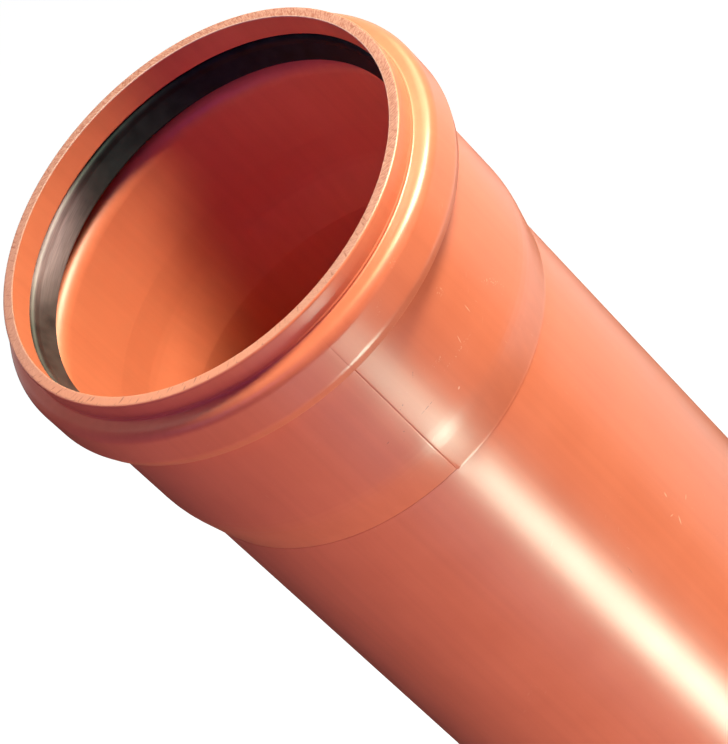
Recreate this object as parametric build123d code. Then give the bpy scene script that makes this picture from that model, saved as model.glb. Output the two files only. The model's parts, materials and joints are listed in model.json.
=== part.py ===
from build123d import *
import math
import os

# Plastic sewer pipe of 160 mm, with a push-fit socket formed on one end and a rubber sealing ring in it.
# Millimetres. It stands on its spigot end: +Z runs up the axis to the mouth, and Z = 0 is the spigot's end face.

# Barrel
barrel_od = 160.0
barrel_wall = 4.0
laid_length = 1000.0
spigot_chamfer_length = 7.0
spigot_chamfer_angle = 15.0

# Socket body and shoulder
socket_depth = 85.0
socket_clearance = 0.6
socket_wall = 3.9
shoulder_length = 20.5
shoulder_radius = 50.0
bore_edge_radius = 3.0
jaw_step = 0.4

# Lip between the mouth and the bulge
lip_flare = 0.4
lip_wall = 4.4
lip_length = 9.2
lip_crease_radius = 0.8

# Bulge that houses the sealing ring
bulge_height = 7.6
bulge_length = 21.4
bulge_front_run = 1.5
bulge_nose_radius = 4.5
bulge_tail_length = 4.1
bulge_tail_drop = 1.5
bulge_tail_radius = 6.0
bulge_corner_radius = 0.8
bulge_back_run = 2.6
bulge_foot_radius = 1.5

# Groove for the sealing ring, inside the bulge
bulge_wall = 3.6
groove_front_wall = 1.8
groove_back_wall = 3.4
groove_front_edge_radius = 0.8
groove_floor_radius = 1.5
groove_back_edge_radius = 4.0

# Sealing ring
seal_clearance = 0.3
seal_bead_bite = 0.1
seal_bead_width = 3.9
seal_bead_radius = 1.8
seal_lip_bite = 2.55
seal_lip_reach = 11.1
seal_tip_thickness = 1.3
seal_edge_radius = 0.5
seal_heel_height = 3.4
seal_heel_length = 9.0
seal_root_radius = 1.0

# Radii
barrel_r = barrel_od / 2
bore_r = barrel_r - barrel_wall
spigot_r = barrel_r - spigot_chamfer_length * math.tan(math.radians(spigot_chamfer_angle))
socket_bore_r = barrel_r + socket_clearance
socket_r = socket_bore_r + socket_wall
mouth_bore_r = socket_bore_r + lip_flare
lip_r = mouth_bore_r + lip_wall
bulge_r = socket_r + bulge_height
bulge_corner_r = bulge_r - bulge_tail_drop
groove_r = bulge_r - bulge_wall
seal_r = groove_r - seal_clearance
seal_heel_r = seal_r - seal_heel_height
seal_bead_r = barrel_r - seal_bead_bite
seal_tip_r = barrel_r - seal_lip_bite

# Heights of the barrel, the shoulder and the mouth
shoulder_foot = laid_length - shoulder_length
mouth = laid_length + socket_depth

# Heights of the bulge, worked down from the mouth
bulge_front = mouth - lip_length
bulge_nose = bulge_front - bulge_front_run
bulge_corner = bulge_front - bulge_length
bulge_tail = bulge_corner + bulge_tail_length
bulge_foot = bulge_corner - bulge_back_run

# Heights of the groove, which follows the bulge with its own walls
groove_front = bulge_front - groove_front_wall
groove_front_floor = groove_front - bulge_front_run
groove_back_floor = bulge_corner + groove_back_wall
groove_back_slope = bulge_back_run / (bulge_corner_r - socket_r)
groove_back = groove_back_floor - groove_back_slope * (groove_r - socket_bore_r)


def groove_front_at(radius):
    """Height of the groove's wall on the mouth side at a radius."""
    share = (radius - mouth_bore_r) / (groove_r - mouth_bore_r)
    return groove_front + share * (groove_front_floor - groove_front)


def groove_back_at(radius):
    """Height of the groove's wall on the barrel side at a radius."""
    return groove_back_floor - groove_back_slope * (groove_r - radius)


def turned(outline):
    """Revolves a closed outline of (radius, height, corner rounding) about the Z axis."""
    corners = [(radius, height) for radius, height, _ in outline]
    roundings = [rounding for _, _, rounding in outline]
    with BuildPart() as piece:
        with BuildSketch(Plane.XZ):
            with BuildLine():
                FilletPolyline(*corners, radius=roundings, close=True)
            make_face()
        revolve(axis=Axis.Z)
    return piece.part


# Pipe: barrel and socket are one wall, drawn up the outside and down the inside
pipe_outside = [
    (spigot_r, 0, 0),
    (barrel_r, spigot_chamfer_length, 0),
    (barrel_r, shoulder_foot, 0),
    (barrel_r + jaw_step, shoulder_foot, 0),
    (socket_r, laid_length, shoulder_radius),
    (socket_r, bulge_foot, bulge_foot_radius),
    (bulge_corner_r, bulge_corner, bulge_corner_radius),
    (bulge_r, bulge_tail, bulge_tail_radius),
    (bulge_r, bulge_nose, bulge_nose_radius),
    (lip_r, bulge_front, lip_crease_radius),
    (lip_r, mouth, 0),
]
pipe_inside = [
    (mouth_bore_r, mouth, 0),
    (mouth_bore_r, groove_front, groove_front_edge_radius),
    (groove_r, groove_front_floor, groove_floor_radius),
    (groove_r, groove_back_floor, groove_floor_radius),
    (socket_bore_r, groove_back, groove_back_edge_radius),
    (socket_bore_r, laid_length, shoulder_radius),
    (bore_r, shoulder_foot, bore_edge_radius),
    (bore_r, 0, 0),
]
pipe = turned(pipe_outside + pipe_inside)

# Sealing ring: a body that fills the groove, a rounded bead towards the mouth and a lip leaning into the socket
seal_front = groove_front_at(seal_bead_r) - seal_clearance
seal_tip = groove_front - seal_lip_reach
seal_outline = [
    (seal_r, groove_front_at(seal_r) - seal_clearance, groove_floor_radius),
    (seal_bead_r, seal_front, seal_bead_radius),
    (seal_bead_r, seal_front - seal_bead_width, seal_bead_radius),
    (seal_tip_r, seal_tip, seal_edge_radius),
    (seal_tip_r + seal_tip_thickness, seal_tip - seal_tip_thickness, seal_edge_radius),
    (seal_heel_r, groove_back_at(seal_heel_r) + seal_clearance + seal_heel_length, seal_root_radius),
    (seal_heel_r, groove_back_at(seal_heel_r) + seal_clearance, seal_root_radius),
    (seal_r, groove_back_at(seal_r) + seal_clearance, groove_floor_radius),
]
sealing_ring = turned(seal_outline)

os.makedirs("parts", exist_ok=True)
export_step(pipe, "parts/pipe.step")
export_step(sealing_ring, "parts/sealing_ring.step")
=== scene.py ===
import json
import math
import random

import bpy
from mathutils import Matrix, Vector


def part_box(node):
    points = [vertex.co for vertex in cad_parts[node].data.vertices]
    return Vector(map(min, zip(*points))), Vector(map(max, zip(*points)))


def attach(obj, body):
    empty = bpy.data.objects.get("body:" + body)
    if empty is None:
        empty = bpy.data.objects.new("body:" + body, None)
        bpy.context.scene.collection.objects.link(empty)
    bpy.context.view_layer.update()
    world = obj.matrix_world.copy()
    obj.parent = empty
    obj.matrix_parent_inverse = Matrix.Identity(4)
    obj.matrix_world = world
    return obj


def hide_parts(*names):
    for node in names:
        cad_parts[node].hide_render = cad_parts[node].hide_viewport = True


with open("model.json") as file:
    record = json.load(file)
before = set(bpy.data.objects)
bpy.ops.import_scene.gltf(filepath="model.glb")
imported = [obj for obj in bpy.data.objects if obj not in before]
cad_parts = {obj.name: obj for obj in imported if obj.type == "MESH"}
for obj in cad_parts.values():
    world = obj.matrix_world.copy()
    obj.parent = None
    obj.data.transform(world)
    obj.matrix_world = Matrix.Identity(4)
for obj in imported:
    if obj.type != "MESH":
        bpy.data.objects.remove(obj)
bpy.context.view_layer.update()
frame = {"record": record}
mounts = {mount["name"]: mount for mount in frame["record"]["mounts"]}
scene = bpy.context.scene
MM = 0.001

# Sizes of the pipe wall, in metres
barrel_r = mounts["spigot"]["dims"]["r_mm"] * MM
bore_r = mounts["pipe_bore"]["dims"]["r_mm"] * MM
mouth_bore_r = mounts["socket_mouth"]["dims"]["r_mm"] * MM
bulge_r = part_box("pipe")[1][0]
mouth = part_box("pipe")[1][2]
laid_length = mouth - 85.0 * MM
spigot_chamfer_length = 7.0 * MM
spigot_r = barrel_r - spigot_chamfer_length * math.tan(math.radians(15))
socket_bore_r = mouth_bore_r - 0.4 * MM
socket_r = socket_bore_r + 3.9 * MM
shoulder_foot = laid_length - 20.5 * MM
shoulder_radius = 50.0 * MM
bore_edge_radius = 3.0 * MM
jaw_step = 0.4 * MM
lip_r = mouth_bore_r + 4.4 * MM
lip_crease_radius = 0.8 * MM
bulge_front = mouth - 9.2 * MM
bulge_nose = bulge_front - 1.5 * MM
bulge_nose_radius = 4.5 * MM
bulge_corner = bulge_front - 21.4 * MM
bulge_corner_r = bulge_r - 1.5 * MM
bulge_corner_radius = 0.8 * MM
bulge_tail = bulge_corner + 4.1 * MM
bulge_tail_radius = 6.0 * MM
bulge_foot = bulge_corner - 2.6 * MM
bulge_foot_radius = 1.5 * MM
groove_r = bulge_r - 3.6 * MM
groove_front = bulge_front - 1.8 * MM
groove_front_floor = groove_front - 1.5 * MM
groove_front_edge_radius = 0.8 * MM
groove_floor_radius = 1.5 * MM
groove_back_floor = bulge_corner + 3.4 * MM
groove_back_slope = (bulge_corner - bulge_foot) / (bulge_corner_r - socket_r)
groove_back = groove_back_floor - groove_back_slope * (groove_r - socket_bore_r)
groove_back_edge_radius = 7.0 * MM

# Sizes of the sealing ring
seal_clearance = 0.3 * MM
seal_r = groove_r - seal_clearance
seal_heel_r = seal_r - 3.4 * MM
seal_bead_r = barrel_r - 0.1 * MM
seal_tip_r = barrel_r - 2.55 * MM
seal_tip = groove_front - 11.1 * MM
seal_tip_thickness = 1.3 * MM
seal_bead_width = 3.9 * MM
seal_bead_radius = 1.8 * MM
seal_edge_radius = 0.5 * MM
seal_root_radius = 1.0 * MM
seal_heel_length = 9.0 * MM
# Sides of the ring that hold its painted light: the lit side, painted a lighter brown, and the painted
# sheen
lit_side_angle = math.radians(155)
painted_sheen_angle = math.radians(129)

# Fine relief that the forming jaws and the saw have left on the wall
parting_angle = math.radians(267.9)
parting_depth = 0.06 * MM
parting_half_width = 0.2 * MM
jaw_slope = (socket_r - barrel_r - jaw_step) / (laid_length - shoulder_foot)
jaw_blend = 8.0 * MM
proud_jaw_reach = 0.7 * MM
proud_jaw_step = 0.1 * MM
proud_jaw_start = 0.6 * MM
flare_length = 1.4 * MM
flare_slope = 0.05
neck_length = 9.0 * MM
neck_depth = 0.25 * MM
neck_start = math.radians(6)
sunk_jaw_depth = 0.1 * MM
sunk_jaw_width = 0.35 * MM
jaw_mismatch = 0.06 * MM
ridge_place = 8.3 * MM
ridge_height = 0.3 * MM
ridge_half_width = 0.65 * MM
lip_taper = 0.3 * MM
lip_taper_end = mouth - bulge_nose
lip_round = 0.9 * MM
lip_inner_round = 0.35 * MM
mandrel_line = laid_length + 17.5 * MM
mandrel_length = 12.0 * MM
mandrel_hollow = 0.08 * MM
mandrel_ridge = 0.03 * MM
mandrel_ridge_half_width = 0.7 * MM
saw_pitch = 2.0 * MM
saw_depth = 0.12 * MM
saw_slant = 0.5
stroked_angle = math.radians(30)
smooth_angle = math.radians(225)
burr_and_highlight_width = 0.6 * MM

# Fineness of the meshes
columns = 336
saw_columns = 6 * columns
long_step = 60 * MM
socket_step = 12 * MM
close_step = 0.5 * MM


def rounded(corners):
    """Points of an outline of (radius, height, rounding), with each rounded corner as an arc."""
    points = []
    arc_step = math.radians(9)
    for index, (radius, height, rounding) in enumerate(corners):
        corner = Vector((radius, height))
        if rounding == 0:
            points.append(corner)
            continue
        before = (Vector(corners[index - 1][:2]) - corner).normalized()
        after = (Vector(corners[index + 1][:2]) - corner).normalized()
        half = before.angle(after) / 2
        centre = corner + (before + after).normalized() * (rounding / math.sin(half))
        start = corner + before * (rounding / math.tan(half)) - centre
        turn = math.pi - 2 * half
        if start.x * before.y - start.y * before.x > 0:
            turn = -turn
        steps = max(3, round(abs(turn) / arc_step))
        for step in range(steps + 1):
            angle = turn * step / steps
            points.append(centre + Vector((start.x * math.cos(angle) - start.y * math.sin(angle),
                                           start.x * math.sin(angle) + start.y * math.cos(angle))))
    return points


def with_support(points, longest, edge):
    """Adds rows near the ends of straight runs, and along them, so that their shading stays straight."""
    rows = [points[0]]
    for start, end in zip(points, points[1:]):
        length = (end - start).length
        if length > 3 * edge:
            count = math.ceil((length - 2 * edge) / longest)
            for step in range(count + 1):
                rows.append(start.lerp(end, (edge + (length - 2 * edge) * step / count) / length))
        rows.append(end)
    return rows


def rows_between(points, low, high):
    """The points whose height lies in a range."""
    return [point for point in points if low <= point.y <= high]


def even_angles(count):
    """Angles at even steps round a full turn."""
    return [2 * math.pi * step / count for step in range(count)]


def bridge(below, above):
    """Faces between two rings of (angle, vertex), where the angles of one may be some of the other's."""
    fine, coarse = (below, above) if len(below) > len(above) else (above, below)
    place = {round(angle, 9): index for index, (angle, vertex) in enumerate(fine)}
    faces = []
    for index, (angle, vertex) in enumerate(coarse):
        next_angle, next_vertex = coarse[(index + 1) % len(coarse)]
        first = place[round(angle, 9)]
        last = place[round(next_angle, 9)]
        if last <= first:
            last += len(fine)
        run = [fine[position % len(fine)][1] for position in range(first, last + 1)]
        if coarse is below:
            faces.append([vertex, next_vertex] + run[::-1])
        else:
            faces.append(run + [next_vertex, vertex])
    return faces


def turned_piece(name, strips, materials):
    """A closed wall turned about Z from strips of rows, each with its angles, material and relief."""
    vertices = []
    tones = []
    faces = []
    indices = []
    rings = []
    for strip in strips:
        for row in strip["rows"]:
            ring = []
            for angle in strip["angles"]:
                radius, height, tone = strip["relief"](row.x, row.y, angle)
                ring.append((angle, len(vertices)))
                vertices.append((radius * math.cos(angle), radius * math.sin(angle), height))
                tones.append(tone)
            rings.append((ring, strip["material"]))
    for index, (ring, material) in enumerate(rings):
        next_ring, next_material = rings[(index + 1) % len(rings)]
        added = bridge(ring, next_ring)
        faces.extend(added)
        indices.extend([next_material] * len(added))
    mesh = bpy.data.meshes.new(name)
    mesh.from_pydata(vertices, [], faces)
    for material in materials:
        mesh.materials.append(material)
    mesh.polygons.foreach_set("material_index", indices)
    mesh.polygons.foreach_set("use_smooth", [True] * len(faces))
    # The tone holds the painted shade in the wall's creases and the saw marks on the sawn end
    mesh.attributes.new("tone", "FLOAT", "POINT").data.foreach_set("value", tones)
    mesh.update()
    mesh.set_sharp_from_angle(angle=math.radians(32))
    piece = bpy.data.objects.new(name, mesh)
    scene.collection.objects.link(piece)
    return piece


def plain(radius, height, angle):
    """No relief."""
    return radius, height, 0.0


def rise(distance, half_width):
    """A rounded rise: one at its middle and nothing past its half width."""
    return (1 + math.cos(math.pi * min(1, abs(distance) / half_width))) / 2


def clamped(value):
    """A share held between nothing and one."""
    return max(0, min(1, value))


def turn_from(line, angle):
    """The turn from a line to an angle, between minus and plus half a turn."""
    return (angle - line + math.pi) % (2 * math.pi) - math.pi


def flared(run):
    """Height of the proud jaw's edge above the barrel, at a run from its end: a step, then a flare."""
    bent = min(run, flare_length)
    climb = (jaw_slope - flare_slope) * (bent * bent / (2 * flare_length) + run - bent)
    return proud_jaw_step + flare_slope * run + climb


def formed_relief(radius, height, angle):
    """The jaws' marks: one half proud over a neck, one sunk, a parting line, and a ridged lip, with painted
    shade in the tone along the sunk jaw's foot and in the parting line.
    """
    turn = turn_from(parting_angle, angle)
    offset = height - shoulder_foot
    share = clamped(offset / jaw_blend)
    foot = barrel_r + jaw_slope * max(0, offset)
    tone = 0.0
    if turn >= 0:
        reached = clamped((turn * radius - proud_jaw_start) / proud_jaw_start)
        if offset >= -proud_jaw_reach:
            foot += reached * (barrel_r + flared(offset + proud_jaw_reach) - foot)
        else:
            foot -= clamped(turn / neck_start) * neck_depth * clamped(1 + offset / neck_length) ** 2
        shape = foot * (1 - share) + radius * share
    else:
        if offset >= 0:
            foot -= sunk_jaw_depth
            # Painted shade in the crease at the sunk jaw's foot, darker towards the parting line
            tone = (0.15 + 0.3 * rise(turn, math.radians(25))) * rise(offset, sunk_jaw_width)
        fade = clamped((bulge_front - height) / (bulge_front - bulge_foot))
        shape = foot * (1 - share) + (radius - jaw_mismatch * fade) * share
    if offset > 0 and height < bulge_front:
        gap = min(abs(turn), math.pi - abs(turn)) * radius
        strength = 1.0 if height < bulge_foot else 0.3
        line = strength * clamped(1 - gap / parting_half_width)
        shape -= parting_depth * line
        # Painted shade along the parting line's groove
        tone = max(tone, 0.12 * line)
    depth = mouth - height
    taper_fade = clamped((lip_taper_end - depth) / (lip_taper_end - ridge_place))
    shape -= lip_taper * min(1, depth / ridge_place) ** 2 * taper_fade
    shape += ridge_height * rise(depth - ridge_place, ridge_half_width)
    return shape, height, tone


def mandrel_relief(radius, height, angle):
    """The forming mandrel's mark on the inside: a fine ridge, and a shallow hollow before the shoulder."""
    depth = mandrel_line - height
    radius -= mandrel_ridge * rise(depth, mandrel_ridge_half_width)
    radius += mandrel_hollow * rise(depth - mandrel_length / 2, mandrel_length / 2)
    return radius, height, 0.0


saw_random = random.Random(11)
face_r = (lip_r + mouth_bore_r) / 2
saw_count = round(2 * math.pi * face_r / saw_pitch)
saw_marks = []
for mark in range(saw_count):
    saw_marks.append({
        "shift": saw_random.uniform(-0.22, 0.22),
        "width": saw_random.uniform(0.12, 0.3),
        "strength": saw_random.random(),
        "place": saw_random.uniform(-0.5, 0.5),
        "length": saw_random.uniform(0.3, 0.8),
    })


def saw_relief(radius, height, angle):
    """Short slanting marks that the saw has left across the end of the wall."""
    across = (radius - face_r) / (lip_r - mouth_bore_r)
    along = angle * saw_count / (2 * math.pi) + saw_slant * (radius - face_r) / saw_pitch
    mark = saw_marks[int(math.floor(along)) % saw_count]
    tone = rise(along - math.floor(along) - 0.5 - mark["shift"], mark["width"])
    tone *= mark["strength"] * rise(across - mark["place"], mark["length"])
    return radius, height - saw_depth * tone, tone


def add(tree, kind, inputs=None, **settings):
    """Adds a node, sets its properties, and links or sets its inputs."""
    node = tree.nodes.new(kind)
    for key, value in settings.items():
        setattr(node, key, value)
    for key, value in (inputs or {}).items():
        if isinstance(value, bpy.types.NodeSocket):
            tree.links.new(value, node.inputs[key])
        else:
            node.inputs[key].default_value = value
    return node


def new_material(name):
    """A material with its node tree and its shader."""
    material = bpy.data.materials.new(name)
    material.use_nodes = True
    tree = material.node_tree
    return material, tree, tree.nodes["Principled BSDF"]


def noise(tree, place, scale, detail):
    """A noise pattern about a place."""
    node = add(tree, "ShaderNodeTexNoise", {"Vector": place, "Scale": scale, "Detail": detail})
    return node.outputs["Fac"]


def between(tree, value, low, high):
    """A value turned into a share from nothing at low to one at high."""
    node = add(tree, "ShaderNodeMapRange", {"Value": value, "From Min": low, "From Max": high})
    return node.outputs["Result"]


def spread(tree, value, low, high):
    """A share turned into a value from low to high."""
    node = add(tree, "ShaderNodeMapRange", {"Value": value, "To Min": low, "To Max": high})
    return node.outputs["Result"]


def mixed(tree, share, first, second):
    """A colour between two colours."""
    node = add(tree, "ShaderNodeMix", {0: share, 6: first, 7: second}, data_type="RGBA")
    return node.outputs[2]


def calculated(tree, operation, first, second):
    """The result of an operation on two numbers."""
    return add(tree, "ShaderNodeMath", {0: first, 1: second}, operation=operation).outputs["Value"]


def unrolled(tree, place):
    """The wall laid flat: the way round, in metres at the socket's radius, and the height."""
    parts = add(tree, "ShaderNodeSeparateXYZ", {"Vector": place}).outputs
    angle = calculated(tree, "ARCTAN2", parts["Y"], parts["X"])
    around = calculated(tree, "MULTIPLY", angle, socket_r)
    return add(tree, "ShaderNodeCombineXYZ", {"X": around, "Y": parts["Z"]}).outputs["Vector"]


def towards(tree, place, angle):
    """How far a place on the socket lies to one side: one there, and minus one across from it."""
    node = add(tree, "ShaderNodeVectorMath", {0: place}, operation="DOT_PRODUCT")
    node.inputs[1].default_value = (math.cos(angle) / socket_bore_r, math.sin(angle) / socket_bore_r, 0)
    return node.outputs["Value"]


def laid_on(tree, flat, place, tilt, size):
    """The laid-out wall seen from a spot on it, turned by a tilt, with the spot's size as one."""
    inputs = {
        "Vector": flat,
        "Location": (*place, 0),
        "Rotation": (0, 0, math.radians(tilt)),
        "Scale": (*size, 1),
    }
    return add(tree, "ShaderNodeMapping", inputs, vector_type="TEXTURE").outputs["Vector"]


def marks_on(tree, flat, marks):
    """One where any of a list of single marks lies on the laid-out wall, with soft edges."""
    result = None
    for angle, height, length, width, tilt in marks:
        place = (turn_from(0, math.radians(angle)) * socket_r, height * MM)
        spot = laid_on(tree, flat, place, tilt, (length * MM / 2, width * MM / 2))
        reach = add(tree, "ShaderNodeVectorMath", {0: spot}, operation="LENGTH").outputs["Value"]
        mark = between(tree, reach, 1.0, 0.5)
        result = mark if result is None else calculated(tree, "MAXIMUM", result, mark)
    return result


def scuffs(tree, flat, tilt, rarity):
    """Sparse short scratches that lie one way on the laid-out wall."""
    turned = laid_on(tree, flat, (0, 0), tilt, (5.5 * MM, 0.7 * MM))
    return between(tree, noise(tree, turned, 1.0, 2.0), rarity, rarity + 0.06)


# Marks on the wall: angle in degrees, height, length and width in millimetres, tilt in degrees
pale_marks = [
    (282.3, 1008.0, 1.5, 1.0, 30),
    (290.9, 1020.5, 4.2, 0.4, 75),
    (298.2, 1024.0, 4.6, 0.4, 85),
    (301.4, 871.2, 4.5, 0.7, 60),
    (300.6, 876.5, 2.2, 0.5, -30),
    (303.8, 884.0, 3.0, 0.7, 75),
    (308.2, 872.1, 2.6, 0.5, 20),
]
speckled_trails = [
    (289.0, 1017.7, 21.5, 1.6, -3),
    (283.3, 1023.3, 9.6, 2.0, -4),
    (308.8, 1017.0, 17.0, 3.4, -66),
    (281.0, 1066.0, 7.0, 2.6, 40),
    (290.4, 1072.2, 5.0, 2.2, 10),
    (296.3, 1040.0, 6.0, 4.0, 50),
]
dark_marks = [
    (276.8, 1028.8, 3.4, 0.5, 50),
    (273.5, 1013.7, 9.0, 0.35, 2),
    (269.9, 1022.7, 0.9, 0.6, 30),
    (268.8, 1022.0, 1.2, 0.5, 10),
    (265.6, 1013.5, 0.8, 0.6, 0),
    (263.9, 1010.4, 1.8, 0.4, 15),
    (261.0, 1014.4, 1.4, 0.4, 15),
    (280.9, 881.7, 5.0, 0.4, 85),
]


def pvc_material(name, marked):
    """Orange-brown PVC-U with extrusion streaks, a faint mottle, a satin gloss and, outside, marks and
    painted shade in the jaws' creases.
    """
    material, tree, shader = new_material(name)
    place = add(tree, "ShaderNodeTexCoord").outputs["Object"]
    drawn = add(tree, "ShaderNodeMapping", {"Vector": place, "Scale": (1, 1, 0.02)}).outputs["Vector"]
    mottle = noise(tree, place, 40, 3)
    tone = calculated(tree, "MULTIPLY", calculated(tree, "ADD", noise(tree, drawn, 260, 2), mottle), 0.5)
    colour = mixed(tree, between(tree, tone, 0.35, 0.65), (0.61, 0.138, 0.064, 1), (0.67, 0.158, 0.074, 1))
    rough = spread(tree, mottle, 0.26, 0.34) if marked else spread(tree, mottle, 0.36, 0.44)
    relief = calculated(tree, "MULTIPLY", noise(tree, place, 1800, 2), 0.15)
    if marked:
        flat = unrolled(tree, place)
        speckle = noise(tree, place, 1300, 2)
        patches = between(tree, noise(tree, place, 28, 1), 0.5, 0.62)
        scratched = calculated(tree, "MAXIMUM", scuffs(tree, flat, 35, 0.71), scuffs(tree, flat, 100, 0.71))
        scratched = calculated(tree, "MULTIPLY", scratched, patches)
        trails = marks_on(tree, flat, speckled_trails)
        trails = calculated(tree, "MULTIPLY", trails, between(tree, speckle, 0.56, 0.66))
        faint = calculated(tree, "MAXIMUM", trails, calculated(tree, "MULTIPLY", scratched, 0.5))
        faint = calculated(tree, "MULTIPLY", faint, 0.6)
        pale = calculated(tree, "MAXIMUM", faint, marks_on(tree, flat, pale_marks))
        colour = mixed(tree, calculated(tree, "MULTIPLY", pale, 0.75), colour, (0.80, 0.44, 0.30, 1))
        dark = marks_on(tree, flat, dark_marks)
        dark = calculated(tree, "MULTIPLY", dark, between(tree, speckle, 0.38, 0.6))
        # Painted shade from the wall's tone, in the jaws' creases, joined with the real dark marks
        painted_crease_shade = add(tree, "ShaderNodeAttribute", attribute_name="tone").outputs["Fac"]
        dark = calculated(tree, "MAXIMUM", dark, painted_crease_shade)
        colour = mixed(tree, calculated(tree, "MULTIPLY", dark, 0.8), colour, (0.22, 0.035, 0.020, 1))
        rough = calculated(tree, "ADD", rough, calculated(tree, "MULTIPLY", pale, 0.25))
        relief = calculated(tree, "SUBTRACT", relief, calculated(tree, "ADD", pale, dark))
    tree.links.new(colour, shader.inputs["Base Color"])
    tree.links.new(rough, shader.inputs["Roughness"])
    bump = add(tree, "ShaderNodeBump", {"Height": relief, "Strength": 0.25, "Distance": 0.0001})
    tree.links.new(bump.outputs["Normal"], shader.inputs["Normal"])
    shader.inputs["IOR"].default_value = 1.55
    return material


def sawn_material():
    """The sawn end of the wall: pale and matt, with slanting strokes and dark saw marks."""
    material, tree, shader = new_material("sawn_edge")
    place = add(tree, "ShaderNodeTexCoord").outputs["Object"]
    parts = add(tree, "ShaderNodeSeparateXYZ", {"Vector": place}).outputs
    around = calculated(tree, "MULTIPLY", calculated(tree, "ARCTAN2", parts["Y"], parts["X"]), socket_r)
    across = add(tree, "ShaderNodeVectorMath", {0: place}, operation="MULTIPLY")
    across.inputs[1].default_value = (1, 1, 0)
    radius = add(tree, "ShaderNodeVectorMath", {0: across.outputs["Vector"]}, operation="LENGTH")
    face = add(tree, "ShaderNodeCombineXYZ", {"X": around, "Y": radius.outputs["Value"]}).outputs["Vector"]
    strokes = noise(tree, laid_on(tree, face, (0, 0), 50, (2.6 * MM, 0.6 * MM)), 1.0, 3)
    grain = noise(tree, place, 1500, 3)
    side = between(tree, towards(tree, place, stroked_angle), -0.3, 0.5)
    rough_share = spread(tree, side, 0.3, 1.0)
    uneven = add(tree, "ShaderNodeMix", {0: 0.25, 2: strokes, 3: grain}).outputs[0]
    tone = add(tree, "ShaderNodeMix", {0: rough_share, 2: 0.5, 3: uneven}).outputs[0]
    mark = add(tree, "ShaderNodeAttribute", attribute_name="tone").outputs["Fac"]
    colour = mixed(tree, between(tree, tone, 0.39, 0.61), (0.31, 0.076, 0.048, 1), (0.56, 0.250, 0.190, 1))
    colour = mixed(tree, calculated(tree, "MULTIPLY", side, 0.25), colour, (0.31, 0.090, 0.062, 1))
    smooth = calculated(tree, "MULTIPLY", between(tree, towards(tree, place, smooth_angle), 0.6, 1.0), 0.8)
    colour = mixed(tree, smooth, colour, (0.62, 0.200, 0.118, 1))
    colour = mixed(tree, between(tree, mark, 0.1, 0.8), colour, (0.26, 0.070, 0.040, 1))
    # A pale burr along the inner edge, partly a painted highlight: it is kept to the lit right side
    burr_and_highlight = between(tree, radius.outputs["Value"], mouth_bore_r + burr_and_highlight_width, mouth_bore_r + burr_and_highlight_width / 2)
    burr_and_highlight = calculated(tree, "MULTIPLY", burr_and_highlight, side)
    colour = mixed(tree, calculated(tree, "MULTIPLY", burr_and_highlight, 0.4), colour, (0.78, 0.480, 0.400, 1))
    tree.links.new(colour, shader.inputs["Base Color"])
    tree.links.new(spread(tree, grain, 0.5, 0.75), shader.inputs["Roughness"])
    bump = add(tree, "ShaderNodeBump", {"Height": tone, "Strength": 0.6, "Distance": 0.0002})
    tree.links.new(bump.outputs["Normal"], shader.inputs["Normal"])
    return material


def rubber_material():
    """Black moulded rubber with a dull gloss, painted a lighter brown on its lit side, and with a painted
    sheen broken into streaks along the ring.
    """
    material, tree, shader = new_material("seal_rubber")
    place = add(tree, "ShaderNodeTexCoord").outputs["Object"]
    bloom = noise(tree, place, 160, 4)
    streaks = noise(tree, laid_on(tree, unrolled(tree, place), (0, 0), 0, (9 * MM, 0.5 * MM)), 1.0, 2)
    patchy = between(tree, bloom, 0.3, 0.7)
    colour = mixed(tree, patchy, (0.005, 0.005, 0.006, 1), (0.013, 0.012, 0.013, 1))
    # Painted light: the ring's lit side is a lighter brown than its shaded side
    painted_lit_brown = mixed(tree, patchy, (0.028, 0.013, 0.012, 1), (0.064, 0.034, 0.031, 1))
    colour = mixed(tree, between(tree, towards(tree, place, lit_side_angle), 0.55, 0.9), colour, painted_lit_brown)
    # Painted sheen: a highlight held in the colour at one side of the ring, broken into streaks along it
    painted_sheen = between(tree, towards(tree, place, painted_sheen_angle), 0.86, 0.985)
    painted_sheen = calculated(tree, "POWER", painted_sheen, 4)
    painted_sheen = calculated(tree, "MULTIPLY", painted_sheen, between(tree, streaks, -0.4, 0.7))
    colour = mixed(tree, painted_sheen, colour, (0.345, 0.216, 0.216, 1))
    tree.links.new(colour, shader.inputs["Base Color"])
    tree.links.new(spread(tree, bloom, 0.40, 0.55), shader.inputs["Roughness"])
    skin = noise(tree, place, 2200, 2)
    bump = add(tree, "ShaderNodeBump", {"Height": skin, "Strength": 0.3, "Distance": 0.00006})
    tree.links.new(bump.outputs["Normal"], shader.inputs["Normal"])
    gloss = spread(tree, between(tree, towards(tree, place, lit_side_angle), 0.1, 0.6), 0.1, 0.3)
    tree.links.new(gloss, shader.inputs["Specular IOR Level"])
    return material


# Angles of the columns: even, closer at the jaws' parting lines, and finer on the sawn end
parting_offsets = [math.radians(step) for step in (-0.42, -0.14, -0.03, 0, 0.03, 0.14, 0.42, 0.81)]
parting_angles = []
for line in (parting_angle, parting_angle - math.pi):
    parting_angles.extend(line + offset for offset in parting_offsets)
wall_angles = [angle for angle in even_angles(columns)
               if min(abs(turn_from(line, angle)) for line in parting_angles) > math.radians(0.2)]
wall_angles = sorted(wall_angles + parting_angles)
face_angles = [angle for angle in even_angles(saw_columns)
               if min(abs(turn_from(line, angle)) for line in wall_angles) > math.radians(0.02)]
face_angles = sorted(wall_angles + face_angles)

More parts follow.
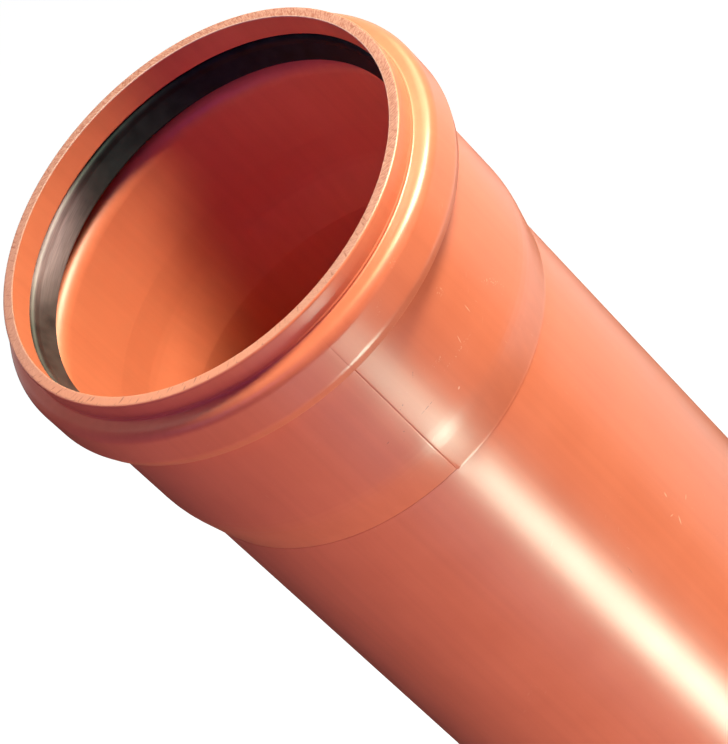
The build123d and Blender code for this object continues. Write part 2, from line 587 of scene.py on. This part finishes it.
# Outlines of the wall
outside = rounded([
    (barrel_r + jaw_step, shoulder_foot, 0),
    (socket_r, laid_length, shoulder_radius),
    (socket_r, bulge_foot, bulge_foot_radius),
    (bulge_corner_r, bulge_corner, bulge_corner_radius),
    (bulge_r, bulge_tail, bulge_tail_radius),
    (bulge_r, bulge_nose, bulge_nose_radius),
    (lip_r, bulge_front, lip_crease_radius),
    (lip_r, mouth, 0),
])
inside = rounded([
    (mouth_bore_r, mouth, 0),
    (mouth_bore_r, groove_front, groove_front_edge_radius),
    (groove_r, groove_front_floor, groove_floor_radius),
    (groove_r, groove_back_floor, groove_floor_radius),
    (socket_bore_r, groove_back, groove_back_edge_radius),
    (socket_bore_r, laid_length, shoulder_radius),
    (bore_r, shoulder_foot, bore_edge_radius),
    (bore_r, 0, 0),
])
barrel_top = shoulder_foot - neck_length
barrel_rows = with_support([Vector((spigot_r, 0)), Vector((barrel_r, spigot_chamfer_length)),
                            Vector((barrel_r, barrel_top))], long_step, close_step)
foot_rows = []
for step in (-8, -7, -6, -5, -4, -3, -2.2, -1.4, -0.72, -0.7, -0.4, -0.02,
             0, 0.18, 0.36, 0.8, 1.3, 1.8, 2.6, 3.6, 4.7, 6):
    offset = step * MM
    foot_rows.append(Vector((barrel_r + max(0, jaw_step + jaw_slope * offset), shoulder_foot + offset)))
formed_rows = rows_between(with_support(outside, socket_step, close_step), shoulder_foot + jaw_blend,
                           bulge_front + lip_crease_radius)
ridge_low = ridge_place - ridge_half_width
lip_rows = []
for step in (0.2, 0.4, 0.6, 0.8, 1, 1.2, 1.4):
    lip_rows.append(Vector((lip_r, mouth - ridge_place + (step - 0.2) * ridge_half_width)))
for step in (0.8, 0.6, 0.45, 0.3, 0.15):
    lip_rows.append(Vector((lip_r, mouth - step * ridge_low)))
lip_rows = rows_between(lip_rows, formed_rows[-1].y + 0.1 * MM, mouth)
face_rows = 7
face_outer = Vector((lip_r - lip_round, mouth))
face_inner = Vector((mouth_bore_r + lip_inner_round, mouth))
outer_edge = []
inner_edge = []
for step in (0, 30, 60):
    lean, lift = math.cos(math.radians(step)), 1 - math.sin(math.radians(step))
    outer_edge.append(Vector((lip_r - lip_round * (1 - lean), mouth - lip_round * lift)))
    inner_edge.insert(0, Vector((mouth_bore_r + lip_inner_round * (1 - lean),
                                 mouth - lip_inner_round * lift)))
sawn_rows = [face_outer.lerp(face_inner, step / (face_rows - 1)) for step in range(face_rows)]
bore_rows = rows_between(with_support(inside, long_step, close_step), 0, mouth - 0.9 * close_step)
mandrel_rows = []
for step in (-1, -0.5, 0, 0.5, 1, 2, 3, 4.5, 6, 8, 10):
    mandrel_rows.append(Vector((socket_bore_r, mandrel_line - step * mandrel_ridge_half_width)))
bore_rows = sorted(bore_rows + mandrel_rows, key=lambda row: -row.y)

pvc = pvc_material("pvc", True)
pvc_inside = pvc_material("pvc_inside", False)
sawn = sawn_material()
rubber = rubber_material()

# Pipe
pipe = turned_piece("pipe_wall", [
    {"rows": barrel_rows, "angles": wall_angles, "material": 0, "relief": plain},
    {"rows": foot_rows + formed_rows + lip_rows, "angles": wall_angles, "material": 0,
     "relief": formed_relief},
    {"rows": outer_edge, "angles": wall_angles, "material": 0, "relief": plain},
    {"rows": sawn_rows, "angles": face_angles, "material": 1, "relief": saw_relief},
    {"rows": inner_edge, "angles": wall_angles, "material": 1, "relief": plain},
    {"rows": bore_rows, "angles": wall_angles, "material": 2, "relief": mandrel_relief},
], [pvc, sawn, pvc_inside])
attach(pipe, "root")
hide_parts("pipe")


# Sealing ring
def groove_front_at(radius):
    """Height of the groove's wall on the mouth side at a radius."""
    share = (radius - mouth_bore_r) / (groove_r - mouth_bore_r)
    return groove_front + share * (groove_front_floor - groove_front)


def groove_back_at(radius):
    """Height of the groove's wall on the barrel side at a radius."""
    return groove_back_floor - groove_back_slope * (groove_r - radius)


seal_front = groove_front_at(seal_bead_r) - seal_clearance
seal_heel = groove_back_at(seal_heel_r) + seal_clearance
seal_middle = (groove_front_at(seal_r) + groove_back_at(seal_r)) / 2
seal_outline = rounded([
    (seal_r, seal_middle, 0),
    (seal_r, groove_front_at(seal_r) - seal_clearance, groove_floor_radius),
    (seal_bead_r, seal_front, seal_bead_radius),
    (seal_bead_r, seal_front - seal_bead_width, seal_bead_radius),
    (seal_tip_r, seal_tip, seal_edge_radius),
    (seal_tip_r + seal_tip_thickness, seal_tip - seal_tip_thickness, seal_edge_radius),
    (seal_heel_r, seal_heel + seal_heel_length, seal_root_radius),
    (seal_heel_r, seal_heel, seal_root_radius),
    (seal_r, groove_back_at(seal_r) + seal_clearance, groove_floor_radius),
    (seal_r, seal_middle - close_step, 0),
])
seal = turned_piece("rubber_seal", [
    {"rows": with_support(seal_outline, 4 * MM, 0.3 * MM), "angles": even_angles(columns), "material": 0,
     "relief": plain},
], [rubber])
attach(seal, "root")
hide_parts("sealing_ring")

# Camera, at the photograph's viewing angle
image_height = 744
focal_pixels = 4391.5
camera_data = bpy.data.cameras.new("camera")
camera_data.sensor_fit = "VERTICAL"
camera_data.sensor_height = 24.0
camera_data.lens = focal_pixels * camera_data.sensor_height / image_height
camera = bpy.data.objects.new("camera", camera_data)
camera_place = Vector((0, -1.2420, mouth + 0.93845))
camera_forward = Vector((-0.00086, 0.76399, -0.64522)).normalized()
camera_up = Vector((0.71433, 0.45200, 0.53426))
camera_right = camera_forward.cross(camera_up).normalized()
camera_up = camera_right.cross(camera_forward)
camera_turn = Matrix((camera_right, camera_up, -camera_forward)).transposed()
camera.matrix_world = Matrix.Translation(camera_place) @ camera_turn.to_4x4()
scene.collection.objects.link(camera)
scene.camera = camera


def direction(azimuth, elevation):
    """A direction from its angle about Z and its angle above the horizon, in degrees."""
    turn, lift = math.radians(azimuth), math.radians(elevation)
    return Vector((math.cos(lift) * math.cos(turn), math.cos(lift) * math.sin(turn), math.sin(lift)))


def area_lamp(name, place, target, size, power, colour, mirrored):
    """A rectangular lamp that faces a target, and may show in the gloss."""
    data = bpy.data.lights.new(name, "AREA")
    data.shape = "RECTANGLE"
    data.size, data.size_y = size
    data.energy = power
    data.color = colour
    lamp = bpy.data.objects.new(name, data)
    lamp.location = place
    lamp.rotation_euler = (target - place).to_track_quat("-Z", "Y").to_euler()
    lamp.visible_camera = False
    lamp.visible_glossy = mirrored
    scene.collection.objects.link(lamp)


# Lamps: a key high on the right, a strip low in front, soft fills, and glows for the gloss alone
head = Vector((0, 0, 1.0))
for name, azimuth, elevation, distance, size, power, colour, mirrored in (
    ("key", -9, 46, 1.0, 0.25, 23.2, (0.88, 1.0, 0.78), False),
    ("back_fill", 135, 60, 1.3, 0.5, 4.0, (0.75, 1.0, 0.80), False),
    ("right_fill", 296, -10, 1.3, 0.5, 4.0, (1.0, 0.70, 0.65), False),
    ("front_fill", 250, -35, 1.3, 0.5, 4.8, (1.0, 0.80, 1.0), False),
    ("left_fill", 208, 24, 1.3, 0.5, 3.0, (0.72, 0.45, 1.0), False),
    ("cool_fill", 234, 42, 1.3, 0.5, 4.0, (0.30, 0.10, 1.0), False),
):
    place = head + direction(azimuth, elevation) * distance
    area_lamp(name, place, head, (size, size), power, colour, mirrored)
strip_place = Vector((0.042, -0.552, 0.409))
area_lamp("strip", strip_place, strip_place + Vector((-0.041, 0.445, 0.59)), (0.14, 0.32), 3.75,
          (0.76, 1.0, 0.79), True)
for name, azimuth, elevation, size, power, colour in (
    ("key_glow", -6, 46, (0.45, 0.45), 24, (0.88, 1.0, 0.78)),
    ("back_glow", 30, 40, (0.7, 0.7), 10, (0.7, 1.0, 0.55)),
    ("front_glow", -12, 66, (0.4, 0.4), 5, (0.4, 1.0, 0.5)),
):
    area_lamp(name, head + direction(azimuth, elevation), head, size, power, colour, True)
    bpy.data.objects[name].visible_diffuse = False


def seen_rays(tree):
    """One for the rays that show the background: the camera's, and mirrored and clear ones."""
    ray = add(tree, "ShaderNodeLightPath").outputs
    seen = calculated(tree, "MAXIMUM", ray["Is Camera Ray"], ray["Is Transmission Ray"])
    return calculated(tree, "MAXIMUM", seen, ray["Is Glossy Ray"])


# World: dim, and white where it shows
world = bpy.data.worlds.new("world")
scene.world = world
world.use_nodes = True
tree = world.node_tree
sky = tree.nodes["Background"]
sky.inputs["Color"].default_value = (0.01, 0.01, 0.014, 1)
white = add(tree, "ShaderNodeBackground", {"Color": (1, 1, 1, 1), "Strength": 1.0})
mix = add(tree, "ShaderNodeMixShader", {"Fac": seen_rays(tree), 1: sky.outputs["Background"],
          2: white.outputs["Background"]})
tree.links.new(mix.outputs["Shader"], tree.nodes["World Output"].inputs["Surface"])

# Floor: pale, and white where it shows, apart from the shadow
reach = 6.0
floor_mesh = bpy.data.meshes.new("floor")
floor_mesh.from_pydata([(-reach, -reach, 0), (reach, -reach, 0), (reach, reach, 0), (-reach, reach, 0)], [],
                       [(0, 1, 2, 3)])
floor = bpy.data.objects.new("floor", floor_mesh)
scene.collection.objects.link(floor)
floor_material, tree, shader = new_material("floor")
shader.inputs["Base Color"].default_value = (0.75, 0.75, 0.75, 1)
shader.inputs["Roughness"].default_value = 0.9
glow = add(tree, "ShaderNodeEmission", {"Color": (1, 1, 1, 1), "Strength": 0.85})
both = add(tree, "ShaderNodeAddShader", {0: shader.outputs["BSDF"], 1: glow.outputs["Emission"]})
mix = add(tree, "ShaderNodeMixShader", {"Fac": seen_rays(tree), 1: shader.outputs["BSDF"],
          2: both.outputs["Shader"]})
tree.links.new(mix.outputs["Shader"], tree.nodes["Material Output"].inputs["Surface"])
floor_mesh.materials.append(floor_material)

# Flags: dark cards, seen in reflections alone, that keep the pipe's front and left deep in colour
flag_mesh = bpy.data.meshes.new("flags")
flag_left, flag_right, flag_front, flag_back, flag_top = -2.0, 2.5, -2.6, 3.0, 3.0
flag_open_x, flag_open_y, flag_lift = 0.6, -0.4, 0.001
flag_mesh.from_pydata([
    (flag_left, flag_front, flag_lift), (flag_open_x, flag_front, flag_lift),
    (flag_open_x, flag_back, flag_lift), (flag_left, flag_back, flag_lift),
    (flag_right, flag_front, flag_lift), (flag_right, flag_open_y, flag_lift),
    (flag_open_x, flag_open_y, flag_lift),
    (flag_left, flag_front, flag_top), (flag_right, flag_front, flag_top),
    (flag_left, flag_back, flag_top), (flag_open_x, flag_front, flag_top),
    (flag_open_x, flag_back, flag_top),
], [], [(0, 1, 2, 3), (1, 4, 5, 6), (0, 4, 8, 7), (0, 3, 9, 7), (7, 10, 11, 9)])
flags = bpy.data.objects.new("flags", flag_mesh)
scene.collection.objects.link(flags)
flag_material, tree, shader = new_material("flags")
shader.inputs["Base Color"].default_value = (0.02, 0.02, 0.02, 1)
shader.inputs["Roughness"].default_value = 0.9
flag_mesh.materials.append(flag_material)
for kind in ("camera", "diffuse", "transmission", "shadow"):
    setattr(flags, "visible_" + kind, False)

scene.view_settings.view_transform = "Standard"
